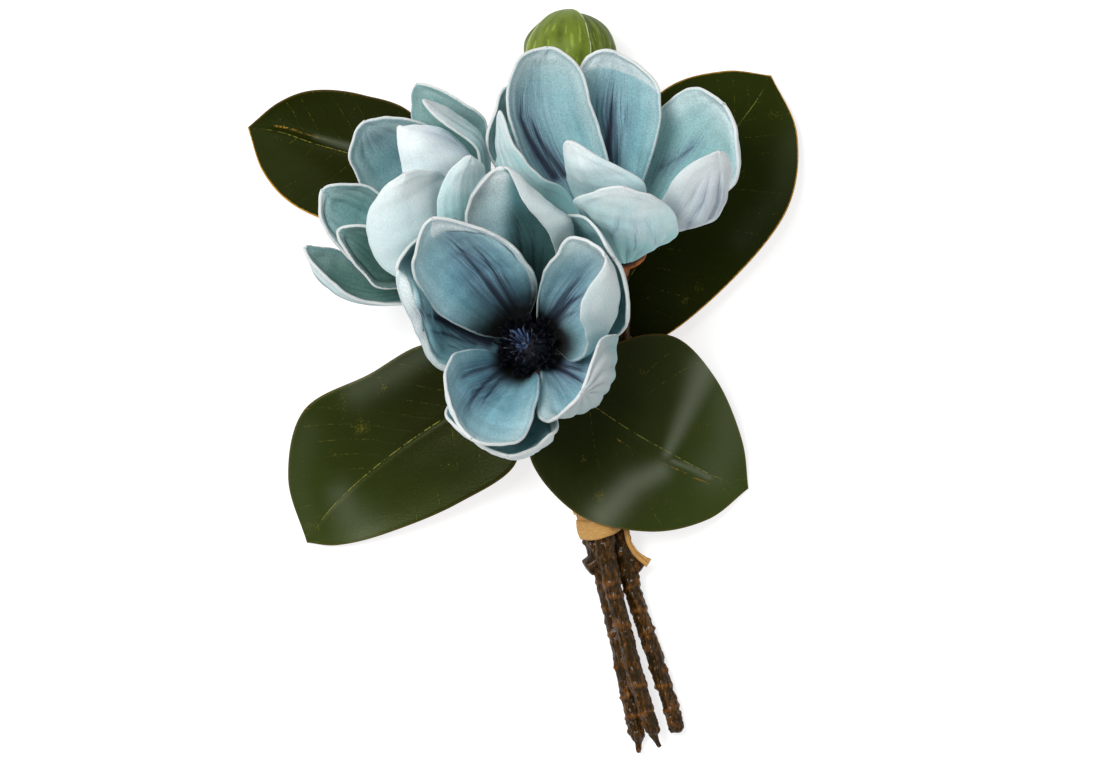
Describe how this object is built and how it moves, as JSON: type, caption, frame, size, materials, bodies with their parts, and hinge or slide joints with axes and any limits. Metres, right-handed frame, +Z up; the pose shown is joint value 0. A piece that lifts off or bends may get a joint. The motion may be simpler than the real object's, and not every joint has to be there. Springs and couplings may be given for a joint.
{
  "type": "magnolia flower bunch",
  "caption": "Artificial magnolia bunch lying on its back: open and half open blue foam blooms, a green bud, dark leaves and bark stems bound by a tan band.",
  "frame": {"origin": "centre of the bunch's outline seen from above, on the surface that it lies on", "axes": "+X to the right across the blooms, +Y along the stems towards the flower heads, +Z up from the surface"},
  "size_m": [0.2314, 0.3123, 0.115],
  "materials": {
    "petal_foam": "matt foam sheet, teal inside and pale blue outside, with dark streaks",
    "receptacle_foam": "matt rust orange",
    "stamen_plastic": "satin blue black",
    "leaf_foam": "glossy dark green with lighter veins and a golden rim",
    "stem_bark": "satin dark brown bark",
    "bud_foam": "matt ribbed green",
    "tie_raffia": "dry tan fibre"
  },
  "bodies": {
    "root": {"petal_front_upper_left": "petal_foam", "petal_front_right": "petal_foam", "petal_front_lower_right": "petal_foam", "petal_front_lower_left": "petal_foam", "petal_front_top": "petal_foam", "petal_front_far_left": "petal_foam", "petal_front_bottom": "petal_foam", "petal_front_far_right": "petal_foam", "receptacle_front": "receptacle_foam", "stamens_front": "stamen_plastic", "petal_right_back_left": "petal_foam", "petal_right_back": "petal_foam", "petal_right_back_right": "petal_foam", "petal_right_front_right": "petal_foam", "petal_right_front": "petal_foam", "petal_right_front_left": "petal_foam", "petal_right_lower_left": "petal_foam", "petal_right_far_left": "petal_foam", "receptacle_right": "receptacle_foam", "stamens_right": "stamen_plastic", "petal_left_upper_inner": "petal_foam", "petal_left_upper_outer": "petal_foam", "petal_left_back_right": "petal_foam", "petal_left_back": "petal_foam", "petal_left_lower_inner": "petal_foam", "petal_left_lowest": "petal_foam", "petal_left_front": "petal_foam", "petal_left_front_inner": "petal_foam", "petal_left_front_right": "petal_foam", "receptacle_left": "receptacle_foam", "stamens_left": "stamen_plastic", "leaf_lower_left": "leaf_foam", "leaf_lower_right": "leaf_foam", "leaf_right": "leaf_foam", "leaf_upper_left": "leaf_foam", "stem_left": "stem_bark", "stem_middle": "stem_bark", "stem_right": "stem_bark", "bud": "bud_foam", "raffia_tie": "tie_raffia"}
  },
  "joints": []
}
